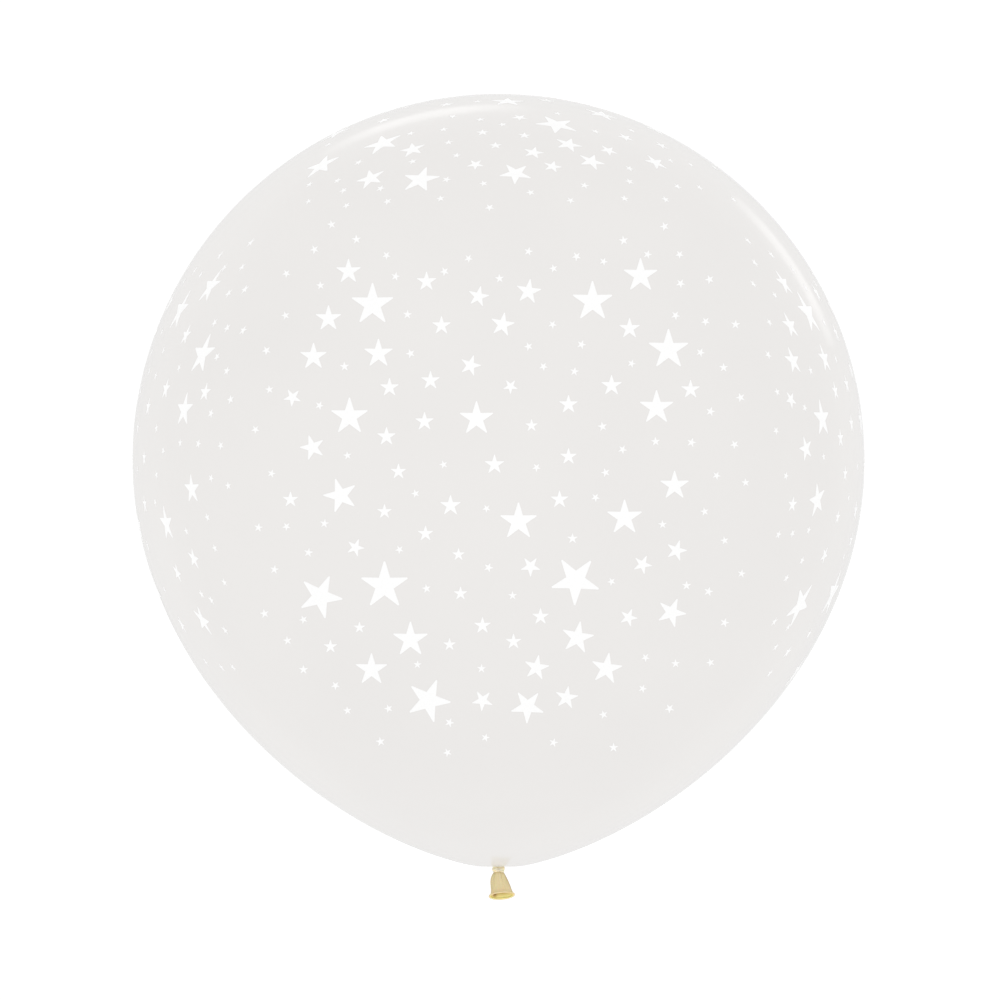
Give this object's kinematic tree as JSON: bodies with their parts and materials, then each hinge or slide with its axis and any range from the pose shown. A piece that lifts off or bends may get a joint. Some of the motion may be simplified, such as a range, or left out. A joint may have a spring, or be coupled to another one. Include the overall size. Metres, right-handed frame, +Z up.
{
  "type": "round balloon",
  "caption": "Round latex balloon with an all-over print of plain stars, blown up and tied, lying on its side.",
  "frame": {"origin": "middle of the small flat under the widest ring, on which the balloon rests", "axes": "+Y from the tail to the crown, along the balloon's axis; +Z up, out of the side that faces up as it lies; +X to the right seen from above with the crown ahead"},
  "size_m": [0.9, 0.9908, 0.8977],
  "materials": {
    "latex": "smooth stretched latex, pale and slightly see-through, amber where it isn't stretched, white ink stars"
  },
  "bodies": {
    "root": {"balloon": "latex"}
  },
  "joints": []
}
